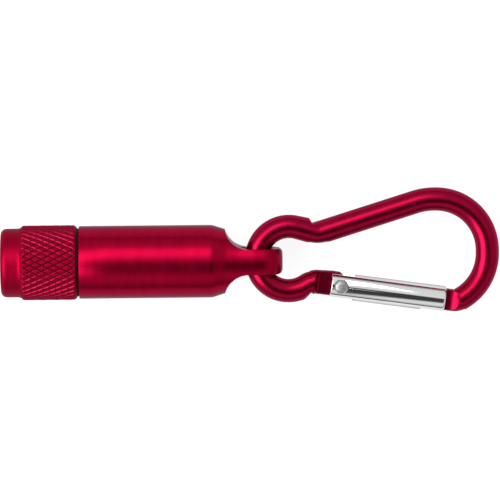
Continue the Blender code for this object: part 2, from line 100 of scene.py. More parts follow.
# Barrel and lug
BARREL_R, TAIL_R, TAPER_S, LUG_S, END_S = 7.27, 6.44, 42.1, 44.9, 56.3
WAIST_S, WAIST_R, LUG_R, LUG_TIP_R, LUG_TIP_DEG = 47.5, 6.12, 6.0, 5.73, 8.0
END_ROUND, TONGUE_HALF, HOLLOW_R, HOLLOW_S = 4.4, 2.52, 4.8, 49.5
HOLE_S, HOLE_R, HOLE_EDGE, BORE_END_S = 51.36, 3.1, 0.45, 38.9
# Cells
CELLS, CELL_S, CELL_PITCH, CELL_R = 4, 11.6, 5.4, 5.79
CELL_CUP, CELL_RIM, CELL_TOP = 3.9, 4.85, 5.34   # heights over each cell's own end
# Carabiner, in its own plane; gate distances run along and across the gate from its rivet
WIRE_R = 2.35
LOOP_C, LOOP_R = Vector((6.20, 0.32)), 6.45
BEND_C, BEND_R, BEND_DROP = Vector((36.02, 1.39)), 10.38, 0.62
EASY_DEG, EASY_R = 82.0, 13.42                   # the bend starts easier, down to this angle
SPINE_DEG, NECK_TOP_DEG, NECK_LOW_DEG, KINK_R = 16.8, -16.0, 29.5, 2.5
GATE_DEG, BEND_STOP_DEG = -8.3, -64.0
hinge_at = LUG.inverted() @ Vector(JOINT["gate_open"]["pos_m"])
RIVET = Vector((hinge_at.x, hinge_at.y)) / MM
GATE = LUG @ Matrix.Translation(hinge_at) @ Matrix.Rotation(math.radians(GATE_DEG), 4, "Z")
GATE_R, GATE_START, GATE_END = 2.63, -2.0, 21.4
GATE_BORE_R, PIN_HOLE_R, HEAD_SEAT_R = 1.3, 0.82, 1.45
SLOT_HALF, FLAT_HALF, SEAT_Z = 1.3, 1.15, 2.26
TANG_END, LATCH_S = 2.0, 21.5
NOSE_TIP = LATCH_S - 3.8
GATE_SPRING_S, GATE_SPRING_END_S = 4.85, 12.95
OUTSIDE = 4.0                                    # half width of cutters that reach past the wire


# ---------------------------------------------------------------- mesh tools
class Skin:
    """Faces given by their corners; corners at the same place are one vertex."""

    def __init__(self):
        self.points, self.faces, self.index = [], [], {}

    def corner(self, p):
        """Number of the vertex at p, to a twenty-thousandth of a millimetre."""
        key = tuple(int(round(c * 20000)) for c in p)
        if key not in self.index:
            self.index[key] = len(self.points)
            self.points.append(tuple(p))
        return self.index[key]

    def face(self, *corners):
        """One face; corners that fall together are dropped."""
        ids = []
        for p in corners:
            i = self.corner(p)
            if i not in ids:
                ids.append(i)
        if len(ids) > 2:
            self.faces.append(ids)

    def band(self, a, b):
        """Quads between two rings."""
        n = len(a)
        for k in range(n):
            self.face(a[k], a[(k + 1) % n], b[(k + 1) % n], b[k])

    def chain(self, rings):
        """Bands from each ring to the next."""
        for a, b in zip(rings, rings[1:]):
            self.band(a, b)

    def build(self, name, place, sharp=35):
        """Object with this skin, its faces turned outwards."""
        mesh = bpy.data.meshes.new(name)
        mesh.from_pydata([Vector(p) * MM for p in self.points], [], self.faces)
        bm = bmesh.new()
        bm.from_mesh(mesh)
        bmesh.ops.recalc_face_normals(bm, faces=bm.faces)
        if bm.calc_volume(signed=True) < 0:
            bmesh.ops.reverse_faces(bm, faces=bm.faces)
        bm.to_mesh(mesh)
        bm.free()
        obj = bpy.data.objects.new(name, mesh)
        bpy.context.scene.collection.objects.link(obj)
        obj.matrix_world = place
        mesh.shade_smooth()
        mesh.set_sharp_from_angle(angle=math.radians(sharp))
        return obj


def circle(steps):
    """Angles of a full turn in even steps."""
    return [2 * math.pi * k / steps for k in range(steps)]


def ring(s, r, n, axis="X"):
    """Circle of radius r at the height s along an axis."""
    out = []
    for t in circle(n):
        u, v = r * math.cos(t), r * math.sin(t)
        out.append({"X": (s, u, v), "Y": (v, s, u), "Z": (u, v, s)}[axis])
    return out


def lathe(profile, n=96, closed=False, axis="X"):
    """Turns an (s, r) profile; a closed one makes a ring."""
    skin = Skin()
    rings = [ring(s, r, n, axis) for s, r in profile]
    if closed:
        rings.append(rings[0])
    skin.chain(rings)
    return skin


def rounded(profile, radius, steps=4):
    """Rounds the inner corners of an open (s, r) profile."""
    pts = [Vector(p) for p in profile]
    out = [profile[0]]
    for a, b, c in zip(pts, pts[1:], pts[2:]):
        u, v = a - b, c - b
        reach = min(radius, u.length * 0.45, v.length * 0.45)
        if reach < 0.01 or abs(u.normalized().dot(v.normalized())) > 0.999:
            out.append(tuple(b))
            continue
        p, q = b + u.normalized() * reach, b + v.normalized() * reach
        for i in range(steps + 1):
            f = i / steps
            out.append(tuple(p * (1 - f) ** 2 + b * 2 * f * (1 - f) + q * f * f))
    out.append(profile[-1])
    return out


def thread(skin, start, end, radius, depth, marks, first, last, n):
    """A helical ridge or groove between two plain rings of the same radius.

    The marks are the corners of its section in turns; it fades out at first and last, in turns.
    """
    low, high = int(math.floor(start / PITCH)) - 2, int(math.ceil(end / PITCH)) + 2
    rows = [(m, j) for m in range(low, high) for j in range(4)]

    def point(row, k):
        m, j = rows[row]
        s = (m + marks[j] + k / n) * PITCH
        fade = min((s / PITCH - first) / 0.3, (last - s / PITCH) / 0.3, 1.0)
        lift = depth * max(fade, 0.0) if j in (1, 2) else 0.0
        s = min(max(s, start), end)
        if s in (start, end):
            lift = 0.0
        t = 2 * math.pi * k / n
        return (s, (radius + lift) * math.cos(t), (radius + lift) * math.sin(t))

    for row in range(len(rows) - 5):
        for k in range(n):
            a, b = point(row, k), point(row + 1, k)
            if k + 1 < n:
                c, d = point(row + 1, k + 1), point(row, k + 1)
            else:
                c, d = point(row + 5, 0), point(row + 4, 0)
            skin.face(a, b, c)
            skin.face(a, c, d)


def oval(s, r, half_s, half_r, steps=16):
    """Closed (s, r) profile of a round section."""
    return [(s + half_s * math.cos(t), r + half_r * math.sin(t)) for t in circle(steps)]


def helix(start, end, r_start, r_end, turns, steps):
    """Centres of a coil round the X axis."""
    out = []
    for i in range(steps + 1):
        f = i / steps
        t, r = 2 * math.pi * turns * f, r_start + (r_end - r_start) * f
        out.append(Vector((start + (end - start) * f, r * math.cos(t), r * math.sin(t))))
    return out


def prism(outline, low, high):
    """Solid between two heights over an outline in X and Y."""
    skin = Skin()
    bottom = [(p[0], p[1], low) for p in outline]
    top = [(p[0], p[1], high) for p in outline]
    skin.band(bottom, top)
    skin.face(*bottom)
    skin.face(*top)
    return skin


def wire(centres, radius, n=12):
    """Round wire wound round the X axis."""
    skin, rings = Skin(), []
    for i, c in enumerate(centres):
        ahead = centres[min(i + 1, len(centres) - 1)] - centres[max(i - 1, 0)]
        out = Vector((0, c.y, c.z)).normalized()
        up = ahead.cross(out).normalized()
        out = up.cross(ahead).normalized()
        rings.append([tuple(c + radius * (out * math.cos(t) + up * math.sin(t))) for t in circle(n)])
    skin.chain(rings)
    skin.face(*rings[0])
    skin.face(*rings[-1])
    return skin


def cut(obj, tools, bevel=0.0, segments=2):
    """Boolean cuts, then a small rounding of the sharp edges, applied."""
    for tool in tools:
        mod = obj.modifiers.new("cut", "BOOLEAN")
        mod.operation, mod.solver, mod.object = "DIFFERENCE", "EXACT", tool
    if bevel:
        mod = obj.modifiers.new("edges", "BEVEL")
        mod.width, mod.segments, mod.limit_method = bevel * MM, segments, "ANGLE"
        mod.angle_limit = math.radians(38)
        mod.miter_outer = "MITER_ARC"
    bpy.context.view_layer.update()
    graph = bpy.context.evaluated_depsgraph_get()
    mesh = bpy.data.meshes.new_from_object(obj.evaluated_get(graph))
    obj.modifiers.clear()
    obj.data = mesh
    mesh.shade_smooth()
    mesh.set_sharp_from_angle(angle=math.radians(35))
    for tool in tools:
        bpy.data.objects.remove(tool, do_unlink=True)


def arc(centre, radius, start, end, steps):
    """Points of an arc between two angles in degrees."""
    return [centre + radius * Vector((math.cos(t), math.sin(t)))
            for t in (math.radians(start + (end - start) * i / steps) for i in range(steps + 1))]


def heading(deg):
    """Unit vector at this angle from X, in the clip's plane."""
    return Vector((math.cos(math.radians(deg)), math.sin(math.radians(deg))))


def meet(p, along_p, q, along_q):
    """Where two lines cross."""
    gap = q - p
    t = (gap.x * along_q.y - gap.y * along_q.x) / (along_p.x * along_q.y - along_p.y * along_q.x)
    return p + along_p * t


def fillet(corner, way_in, way_out, radius, steps):
    """Arc that rounds a corner of a path, between two headings in degrees."""
    turn = (way_out - way_in + 180) % 360 - 180
    side = 1 if turn > 0 else -1
    reach = radius * math.tan(math.radians(abs(turn) / 2))
    centre = corner - heading(way_in) * reach + heading(way_in + 90 * side) * radius
    return arc(centre, radius, way_in - 90 * side, way_in - 90 * side + turn, steps)


def smooth(x):
    """Soft step from 0 at 0 to 1 at 1."""
    x = min(max(x, 0.0), 1.0)
    return x * x * (3 - 2 * x)


# ---------------------------------------------------------------- materials
def material(name):
    """New material with its nodes, links and shader."""
    mat = bpy.data.materials.new(name)
    mat.use_nodes = True
    return mat, mat.node_tree.nodes, mat.node_tree.links, mat.node_tree.nodes["Principled BSDF"]


def grain(nodes, links, shader, colours, scale, stretch, rough, bump):
    """Colour, roughness and a fine bump, all from noise stretched along the tool's path."""
    where = nodes.new("ShaderNodeTexCoord")
    place = nodes.new("ShaderNodeMapping")
    place.inputs["Scale"].default_value = stretch
    links.new(where.outputs["Object"], place.inputs["Vector"])
    noise = nodes.new("ShaderNodeTexNoise")
    noise.inputs["Scale"].default_value = scale
    noise.inputs["Detail"].default_value = 6.0
    noise.inputs["Roughness"].default_value = 0.6
    links.new(place.outputs["Vector"], noise.inputs["Vector"])
    ramp = nodes.new("ShaderNodeValToRGB")
    ramp.color_ramp.elements[0].position, ramp.color_ramp.elements[1].position = 0.3, 0.72
    ramp.color_ramp.elements[0].color = (*colours[0], 1)
    ramp.color_ramp.elements[1].color = (*colours[1], 1)
    links.new(noise.outputs["Fac"], ramp.inputs["Fac"])
    links.new(ramp.outputs["Color"], shader.inputs["Base Color"])
    spread = nodes.new("ShaderNodeMapRange")
    spread.inputs["To Min"].default_value, spread.inputs["To Max"].default_value = rough
    links.new(noise.outputs["Fac"], spread.inputs["Value"])
    links.new(spread.outputs["Result"], shader.inputs["Roughness"])
    small = nodes.new("ShaderNodeTexNoise")
    small.inputs["Scale"].default_value = scale * 6
    small.inputs["Detail"].default_value = 3.0
    links.new(place.outputs["Vector"], small.inputs["Vector"])
    lift = nodes.new("ShaderNodeBump")
    lift.inputs["Strength"].default_value = bump
    lift.inputs["Distance"].default_value = 0.00004
    links.new(small.outputs["Fac"], lift.inputs["Height"])
    links.new(lift.outputs["Normal"], shader.inputs["Normal"])


def metal(name, colours, scale, stretch, rough, bump, tint=(1, 1, 1)):
    """Bare or dyed metal; the tint is its mirror colour at a glancing angle."""
    mat, nodes, links, shader = material(name)
    shader.inputs["Metallic"].default_value = 1.0
    shader.inputs["Specular Tint"].default_value = (*tint, 1)
    grain(nodes, links, shader, colours, scale, stretch, rough, bump)
    return mat


def plastic(name, colours, scale, rough, bump, shine=0.5):
    """Opaque plastic or rubber."""
    mat, nodes, links, shader = material(name)
    shader.inputs["Specular IOR Level"].default_value = shine
    grain(nodes, links, shader, colours, scale, (1, 1, 1), rough, bump)
    return mat


def clear(name, colours, rough, ior):
    """See-through plastic."""
    mat, nodes, links, shader = material(name)
    shader.inputs["Transmission Weight"].default_value = 1.0
    shader.inputs["IOR"].default_value = ior
    grain(nodes, links, shader, colours, 300.0, (1, 1, 1), rough, 0.02)
    return mat


DYED = (0.45, 0.60, 0.65)      # the dyed oxide's tint
SATIN = metal("anodised_satin", ((0.262, 0.0010, 0.019), (0.316, 0.0014, 0.023)), 900,
              (1.0, 0.25, 0.25), (0.27, 0.34), 0.10, DYED)
NOSE_RED = metal("anodised_nose", ((0.245, 0.0009, 0.017), (0.295, 0.0013, 0.021)), 900,
                 (1.0, 0.25, 0.25), (0.42, 0.50), 0.10, DYED)
KNURL_RED = metal("anodised_lands", ((0.21, 0.0012, 0.016), (0.28, 0.0022, 0.024)), 1400,
                  (1, 1, 1), (0.60, 0.72), 0.5, DYED)
GROOVE_RED = metal("anodised_grooves", ((0.22, 0.0045, 0.023), (0.29, 0.0095, 0.037)), 1400,
                   (1, 1, 1), (0.36, 0.44), 0.14, DYED)
GLOSS = metal("anodised_gloss", ((0.255, 0.0026, 0.024), (0.300, 0.0034, 0.029)), 700,
              (1, 1, 1), (0.23, 0.29), 0.05, DYED)
POLISHED = metal("polished_aluminium", ((0.66, 0.66, 0.67), (0.74, 0.74, 0.745)), 500,
                 (0.15, 2.5, 2.5), (0.05, 0.09), 0.06, (0.4, 0.4, 0.4))
PEENED = metal("peened_rivet", ((0.22, 0.22, 0.22), (0.42, 0.42, 0.415)), 1500,
               (1, 1, 1), (0.42, 0.56), 0.9)
SPRING = metal("spring_wire", ((0.50, 0.51, 0.53), (0.64, 0.65, 0.67)), 1600,
               (1, 1, 1), (0.2, 0.34), 0.15)
BRASS = metal("contact_metal", ((0.72, 0.52, 0.20), (0.86, 0.68, 0.32)), 900,
              (1, 1, 1), (0.2, 0.34), 0.15)
NICKEL = metal("nickel_plate", ((0.62, 0.60, 0.56), (0.74, 0.73, 0.69)), 600,
               (1, 1, 1), (0.14, 0.26), 0.06)
TIN = metal("tinned_wire", ((0.60, 0.60, 0.58), (0.76, 0.76, 0.73)), 1200,
            (1, 1, 1), (0.3, 0.42), 0.2)
MIRROR = metal("reflector_film", ((0.84, 0.85, 0.87), (0.90, 0.91, 0.93)), 700,
               (1, 1, 1), (0.04, 0.10), 0.03)
RUBBER = plastic("nitrile", ((0.006, 0.005, 0.006), (0.013, 0.012, 0.013)), 1100,
                 (0.5, 0.68), 0.15, 0.12)
NYLON = plastic("black_nylon", ((0.020, 0.020, 0.022), (0.036, 0.036, 0.038)), 900, (0.42, 0.58), 0.12)
BOARD = plastic("solder_mask", ((0.010, 0.110, 0.035), (0.020, 0.160, 0.055)), 500, (0.3, 0.42), 0.08)
CHIP = plastic("chip_body", ((0.018, 0.018, 0.020), (0.035, 0.035, 0.037)), 1500, (0.45, 0.6), 0.15)
FILM = plastic("sleeve_white", ((0.70, 0.70, 0.67), (0.80, 0.80, 0.77)), 400, (0.4, 0.5), 0.05)
SEAL = plastic("cell_seal_green", ((0.04, 0.13, 0.06), (0.06, 0.18, 0.09)), 900, (0.4, 0.5), 0.1)
ACRYLIC = clear("lens_clear", ((0.95, 0.97, 0.98), (0.98, 0.99, 1.0)), (0.01, 0.03), 1.49)
EPOXY = clear("diode_epoxy", ((0.93, 0.95, 0.97), (0.97, 0.98, 0.99)), (0.03, 0.06), 1.54)


def dress(obj, mat, body, slot, *nodes):
    """Gives a piece its material, its body and the CAD nodes it stands for; slot is not used."""
    obj.data.materials.clear()
    obj.data.materials.append(mat)
    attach(obj, body)
    for node in nodes:
        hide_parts(node)
    return obj


# ---------------------------------------------------------------- head
SPLIT = 8                      # mesh steps along each half diamond, both ways
HEAD_STEPS = SPLIT * 2 * KNURL_AROUND
HALF = (BAND_END - 0.3 - BAND_START) / KNURL_ROWS       # half a diamond, along the torch
NOSE_END, FILLET_END, FILLET_RISE = 3.2, 3.95, 0.13     # plain nose, then the fillet up to the band
# Each end of the band: how far outside it the ramp starts, the ramp's length, how far it falls
FRONT_OUT, FRONT_RAMP, FRONT_FALL = 0.80, 0.55, 0.40
BACK_OUT, BACK_RAMP, BACK_FALL = 0.12, 0.45, 0.20


def grooves(s, k):
    """How near a point is to a groove of each of the two crossing families, 1 in the groove."""
    u, v = (s - BAND_START) / HALF, k / SPLIT
    a, b = (u + v) / 2, (u - v) / 2
    return abs(a - round(a)) * 2, abs(b - round(b)) * 2


def knurl_radius(s, k):
    """V grooves leave diamonds with slightly crowned lands; the band falls off at both ends."""
    near = max(grooves(s, k))
    drop = CROWN * min(near / LAND, 1.0) ** 2 + GROOVE_DEPTH * max(near - LAND, 0.0) / (1 - LAND)
    front = smooth((s - BAND_START + FRONT_OUT) / FRONT_RAMP)
    back = smooth((BAND_END + BACK_OUT - s) / BACK_RAMP)
    top = CREST_R - 0.01 - FRONT_FALL * (1 - front) - BACK_FALL * (1 - back)
    return top - drop * min(front, back)


def head_ring(s, r=None):
    """Ring of the head at s: plain at radius r, or knurled."""
    out = []
    for k in range(HEAD_STEPS):
        t = 2 * math.pi * k / HEAD_STEPS
        radius = knurl_radius(s, k) if r is None else r
        out.append((s, radius * math.cos(t), radius * math.sin(t)))
    return out


def knurl_band(skin, a, b, s_a, s_b):
    """Joins two rings of the knurl with edges that run along the nearer groove."""
    for k in range(HEAD_STEPS):
        m = (k + 1) % HEAD_STEPS
        one, other = grooves((s_a + s_b) / 2, k + 0.5)
        if one > other:
            skin.face(a[k], a[m], b[k])
            skin.face(a[m], b[m], b[k])
        else:
            skin.face(a[k], a[m], b[m])
            skin.face(a[k], b[m], b[k])


# Shell
nose = rounded([(LIP_S, LIP_R + 0.02), (0.0, LIP_R + 0.36), (0.0, 6.05), (0.30, 6.55), (0.75, 6.83),
                (1.3, NOSE_R), (NOSE_END, NOSE_R)], 0.25, 3)
nose += [(3.45, NOSE_R + 0.012), (3.65, NOSE_R + 0.045), (3.82, NOSE_R + 0.09),
         (FILLET_END, NOSE_R + FILLET_RISE)]
head = Skin()
head.chain([head_ring(s, r) for s, r in nose])
step = HALF / SPLIT
places = [BAND_START + step * i for i in range(-SPLIT, (KNURL_ROWS + 1) * SPLIT)]
places = [s for s in places if FILLET_END + 0.05 < s < BAND_END + 0.05]
rows = [head_ring(s) for s in places]
head.band(head_ring(*nose[-1]), rows[0])
for i in range(len(rows) - 1):
    knurl_band(head, rows[i], rows[i + 1], places[i], places[i + 1])
head.chain([rows[-1]] + [head_ring(s, r) for s, r in (
    (15.06, 7.12), (15.14, 7.06), (HEAD_END, EDGE_R), (HEAD_END, SKIRT_R), (SKIRT_S + 0.2, SKIRT_R),
    (SKIRT_S, HEAD_BORE_R))])
wider = (-THREAD_PLAY, -THREAD_PLAY, THREAD_PLAY, THREAD_PLAY)
thread(head, HEAD_THREAD_S, SKIRT_S, HEAD_BORE_R, THREAD_DEPTH,
       [mark + more for mark, more in zip(THREAD_MARKS, wider)], 10.7, 14.9, HEAD_STEPS)
head.chain([head_ring(s, r) for s, r in (
    (HEAD_THREAD_S, HEAD_BORE_R), (BOARD_SEAT_S, HEAD_BORE_R), (BOARD_SEAT_S, LENS_SEAT_R),
    (LENS_SEAT_S, LENS_SEAT_R), (LENS_SEAT_S, LIP_R), (LIP_S, LIP_R + 0.02))])
head_shell = head.build("head_outer", TORCH, 33)
dress(head_shell, NOSE_RED, "head", "anodised_red", "head_shell")
head_shell.data.materials.append(KNURL_RED)
head_shell.data.materials.append(GROOVE_RED)
for face in head_shell.data.polygons:
    x, y, z = face.center / MM
    if FILLET_END + 0.05 < x < BAND_END + 0.1 and math.hypot(y, z) > EDGE_R:
        deep = max(grooves(x, math.atan2(z, y) / (2 * math.pi) * HEAD_STEPS)) > LAND
        face.material_index = 2 if deep and BAND_START - 0.45 < x < BAND_END else 1

# Lens and its gasket
window = rounded([(1.06, 0), (1.06, 5.6), (1.26, 5.88), (1.95, 5.88), (2.12, 5.7), (2.12, 0)], 0.08)
dress(lathe(window, 144).build("lens_window", TORCH), ACRYLIC, "head", "clear_acrylic", "lens")
seal_ring = lathe(oval(2.5, 5.56, 0.29, 0.31), 96, True)
dress(seal_ring.build("lens_seal_ring", TORCH), RUBBER, "head", "black_rubber", "lens_gasket")

# Reflector, a paraboloid dish
BOWL_NECK_R, BOWL_BACK_S, BOWL_DEPTH = BULB_R + 0.15, 7.5, 4.6
dish = []
for i in range(25):
    r = BEAM_R - (BEAM_R - BOWL_NECK_R) * i / 24
    share = (r * r - BOWL_NECK_R ** 2) / (BEAM_R ** 2 - BOWL_NECK_R ** 2)
    dish.append((BOWL_BACK_S - share * BOWL_DEPTH, r))
bowl = [(2.9, 5.25), (2.9, 5.85), (3.7, 5.85), (3.7, 5.6), (8.3, 3.9), (8.3, BOWL_NECK_R)]
bowl += dish[::-1][:-1]
dress(lathe(bowl, 144, True).build("reflector_bowl", TORCH), MIRROR, "head", "metallised_plastic",
      "reflector")

# Diode and its holder
bulb = [(FOCUS_S - BULB_R * math.cos(a), BULB_R * math.sin(a))
        for a in (math.pi / 2 * i / 14 for i in range(15))]
bulb += [(8.43, BULB_R), (8.45, 2.52), (8.45, 2.83), (8.5, 2.85), (9.27, 2.85), (9.3, 2.8), (9.3, 0)]
dress(lathe(bulb, 72).build("diode_body", TORCH), EPOXY, "head", "clear_epoxy", "led_bulb")
holder = rounded([(8.4, 3.0), (8.4, 5.7), (8.6, 5.88), (9.32, 5.88), (9.32, 3.0)], 0.06)
dress(lathe(holder, 96, True).build("diode_holder", TORCH), NYLON, "head", "holder_nylon", "led_holder")

# Contacts
ring_contact = rounded([(10.25, 5.57), (10.25, 6.37), (10.5, 6.37), (10.5, 5.57)], 0.05)
dress(lathe(ring_contact, 144, True).build("minus_ring", TORCH), BRASS, "head", "contact_brass",
      "contact_ring")
stud = [(10.25, 0), (10.25, 0.85), (11.25, 0.85), (11.38, 0.79), (11.47, 0.64), (11.51, 0.4), (11.52, 0)]
dress(lathe(stud, 48).build("plus_stud", TORCH), BRASS, "head", "contact_brass", "centre_contact")

# ---------------------------------------------------------------- barrel
BARREL_STEPS = 192
# Barrel, from the threaded neck to the lug's round end
barrel = Skin()
barrel.chain([ring(s, r, BARREL_STEPS) for s, r in (
    (NECK_S, BORE_R), (NECK_S, 6.25), (11.0, NECK_R), (NECK_THREAD_S, NECK_R))])
thread(barrel, NECK_THREAD_S, NECK_THREAD_END_S, NECK_R, THREAD_DEPTH, THREAD_MARKS, 11.35, 14.2,
       BARREL_STEPS)
tail = [(NECK_THREAD_END_S, NECK_R), (SHOULDER_S, NECK_R), (SHOULDER_S, 7.12), (15.72, 7.24),
        (15.82, BARREL_R)]
tail += [(s, BARREL_R) for s in (22, 28, 34, 40)]
tail += [(TAPER_S - 0.5, BARREL_R), (TAPER_S, BARREL_R - 0.02), (TAPER_S + 0.5, BARREL_R - 0.12),
         (LUG_S - 0.5, TAIL_R + 0.12), (LUG_S, TAIL_R), (45.4, 6.37), (46.0, 6.29), (46.7, 6.21),
         (WAIST_S, WAIST_R), (48.3, 6.07), (49.2, 6.03), (50.1, LUG_R), (50.6, 5.97), (51.0, 5.93),
         (51.4, 5.88), (51.9, 5.815)]
for i in range(25):
    t = math.radians(LUG_TIP_DEG + (90 - LUG_TIP_DEG) * i / 24)
    tail.append((END_S - END_ROUND + END_ROUND * math.sin(t),
                 LUG_TIP_R + END_ROUND * (math.cos(t) - math.cos(math.radians(LUG_TIP_DEG)))))
barrel.chain([ring(s, r, BARREL_STEPS) for s, r in tail])
barrel.face(*ring(*tail[-1], BARREL_STEPS))
barrel.chain([ring(s, r, BARREL_STEPS) for s, r in (
    (NECK_S, BORE_R), (BORE_END_S, BORE_R), (BORE_END_S + 1.8, 0))])
barrel_obj = barrel.build("barrel_outer", TORCH)

# The lug's two flat flanks and its hole
flank = [(HOLLOW_S + HOLLOW_R * math.cos(t), TONGUE_HALF + HOLLOW_R + HOLLOW_R * math.sin(t))
         for t in (math.radians(a) for a in range(180, 271, 3))]
nose_round = [(END_S - 1 + math.sin(t), TONGUE_HALF - 1 + math.cos(t))
              for t in (math.radians(a) for a in range(0, 91, 6))]
outline = flank + nose_round + [(60, 1.5), (60, 12), (HOLLOW_S - HOLLOW_R, 12)]
tools = [prism([(x, y * side) for x, y in outline], -9, 9).build("flank_cut", TORCH)
         for side in (1, -1)]
mouth_r = HOLE_R + HOLE_EDGE
hole = [(-9, 0), (-9, mouth_r), (-TONGUE_HALF, mouth_r)]
hole += [(-TONGUE_HALF + HOLE_EDGE * i / 6, mouth_r - HOLE_EDGE * math.sin(math.pi / 2 * i / 6))
         for i in range(1, 7)]
hole += [(-s, r) for s, r in hole[::-1]]
hole_place = TORCH @ Matrix.Translation(Vector((HOLE_S, 0, 0)) * MM)
tools.append(lathe(hole, 96, axis="Y").build("hole_cut", hole_place))
cut(barrel_obj, tools, 0.12, 3)
dress(barrel_obj, SATIN, "torch_body", "anodised_red", "barrel")

# O-ring and sleeve
o_ring = lathe(oval(15.34, 6.62, 0.2, 0.2), 144, True)
dress(o_ring.build("o_ring_neck", TORCH), RUBBER, "torch_body", "black_rubber", "neck_o_ring")
sleeve = lathe([(11.2, 5.87), (11.2, 5.99), (33.6, 5.99), (33.6, 5.87)], 144, True)
dress(sleeve.build("cell_sleeve", TORCH), FILM, "torch_body", "sleeve_film", "battery_sleeve")

# Cells
for i in range(CELLS):
    s = CELL_S + CELL_PITCH * i
    name, floor_s, rim_s, top_s = "cell_" + str(i + 1), s + CELL_CUP, s + CELL_RIM, s + CELL_TOP
    cup = rounded([(s, 0), (s, 5.6), (s + 0.2, CELL_R), (rim_s - 0.2, CELL_R), (rim_s, 5.6),
                   (rim_s, 5.1), (floor_s, 5.1), (floor_s, 0)], 0.12)
    dress(lathe(cup, 96).build(name + "_cup", TORCH), NICKEL, "cell_stack", "cell_can",
          name + "_can")
    seal = [(floor_s + 0.05, 4.65), (floor_s + 0.05, 5.02), (rim_s - 0.05, 5.02), (rim_s - 0.05, 4.65)]
    dress(lathe(seal, 96, True).build(name + "_ring", TORCH), SEAL, "cell_stack", "cell_seal",
          name + "_seal")
    lid = rounded([(floor_s + 0.05, 0), (floor_s + 0.05, 4.58), (top_s - 0.24, 4.58), (top_s, 4.3),
                   (top_s, 0)], 0.12)
    dress(lathe(lid, 96).build(name + "_lid", TORCH), NICKEL, "cell_stack", "cell_cap",
          name + "_cap")

# Tail spring: the coil stands clear of where the last cell is when the head is screwed right in
tail_coil = wire(helix(33.83, 38.6, 2.4, 5.3, 4.5, 405), 0.25)
dress(tail_coil.build("tail_coil", TORCH), SPRING, "torch_body", "spring_steel", "tail_spring")

# ---------------------------------------------------------------- carabiner frame
ALONG = heading(GATE_DEG)


def gate_point(u):
    """Point on the gate's middle line at u from its rivet."""
    return RIVET + ALONG * u


loop_low = LOOP_C + LOOP_R * heading(NECK_LOW_DEG - 90)
loop_top = LOOP_C + LOOP_R * heading(NECK_TOP_DEG + 90)
EASY_C = BEND_C + heading(EASY_DEG) * (BEND_R - EASY_R)
bend_top = EASY_C + EASY_R * heading(SPINE_DEG + 90)
low_corner = meet(loop_low, heading(NECK_LOW_DEG), RIVET, ALONG)
top_corner = meet(loop_top, heading(NECK_TOP_DEG), bend_top, heading(SPINE_DEG))
LOW_BEND_C = BEND_C - Vector((0, BEND_DROP))
bend_low = LOW_BEND_C + BEND_R * heading(BEND_STOP_DEG)
nose_corner = meet(bend_low, heading(BEND_STOP_DEG - 90), RIVET, ALONG)


def line(p, q, steps):
    """Points between p and q, both left out."""
    return [p + (q - p) * (i / steps) for i in range(1, steps)]


low_kink = fillet(low_corner, GATE_DEG + 180, NECK_LOW_DEG + 180, KINK_R, 10)
top_kink = fillet(top_corner, NECK_TOP_DEG, SPINE_DEG, KINK_R, 12)
nose_kink = fillet(nose_corner, BEND_STOP_DEG - 90, GATE_DEG - 180, KINK_R, 10)
path = [gate_point(TANG_END)] + line(gate_point(TANG_END), low_kink[0], 60) + low_kink
path += line(low_kink[-1], loop_low, 30)
path += arc(LOOP_C, LOOP_R, NECK_LOW_DEG - 90, NECK_TOP_DEG - 270, 96)
path += line(loop_top, top_kink[0], 40) + top_kink + line(top_kink[-1], bend_top, 60)
bend = arc(EASY_C, EASY_R, SPINE_DEG + 90, EASY_DEG, 16) + arc(BEND_C, BEND_R, EASY_DEG, 0, 42)[1:]
bend += arc(LOW_BEND_C, BEND_R, 0, BEND_STOP_DEG, 32)
path += [p for p in bend if (p - nose_kink[0]).dot(heading(BEND_STOP_DEG - 90)) < -0.1] + nose_kink
nose_line = [LATCH_S + 2.5 - 0.15 * i for i in range(16)]
nose_line += [LATCH_S + d for d in (0.12, 0.06, 0.02, 0, -0.4, -1.0, -2.0, -2.8, -3.3, -3.5, -3.65,
                                    -3.75, -3.8)]
path += [gate_point(u) for u in nose_line if (gate_point(u) - nose_kink[-1]).dot(ALONG) < -0.1]
run = [0.0]
for p, q in zip(path, path[1:]):
    run.append(run[-1] + (q - p).length)


def run_at(p):
    """Distance along the walk to the place nearest p."""
    return run[min(range(len(path)), key=lambda i: (path[i] - p).length)]


LOW_RUN, NOSE_RUN = run_at(low_kink[5]), run_at(nose_kink[0])
LOW_VALLEY, TOP_VALLEY, TOP_MIDDLE = run_at(low_kink[-1]), run_at(top_kink[0]), run_at(top_kink[6])


def between(x, stops):
    """Value at x on a line through (place, value) stops, in rising order."""
    if x <= stops[0][0]:
        return stops[0][1]
    for (a, va), (b, vb) in zip(stops, stops[1:]):
        if x <= b:
            return va + (vb - va) * (x - a) / (b - a)
    return stops[-1][1]


# Half widths of the tang on the clip's inner and outer side, by distance from the rivet
TANG_IN = ((-6.2, 2.35), (-5.5, 2.5), (-4.9, 2.62), (-1.7, 2.85), (-0.3, 2.8), (0.1, 2.5), (0.5, 2.2),
           (1.2, 1.85), (2.0, 1.25))
TANG_OUT = ((-6.2, 2.2), (-5.2, 2.2), (0.5, 2.15), (1.2, 1.9), (2.0, 1.25))
# Half widths of the nose's tongue on the outer and inner side, then what the step at the latch
# adds to them and what the tip takes off
NOSE_OUT, STEP_OUT, TIP_OUT = 2.05, 0.15, 0.5
NOSE_IN, STEP_IN, TIP_IN = 1.15, 1.1, 0.3
STEP_LENGTH, TIP_LENGTH = 0.12, 0.3
TANG_FLAT_END, TANG_RUN_OUT = -4.35, 0.35    # where the milled flats end, and their run-out
NOSE_FLAT_END, NOSE_RUN_OUT = 21.9, 3.0
RUN_OUT_DEG = 50


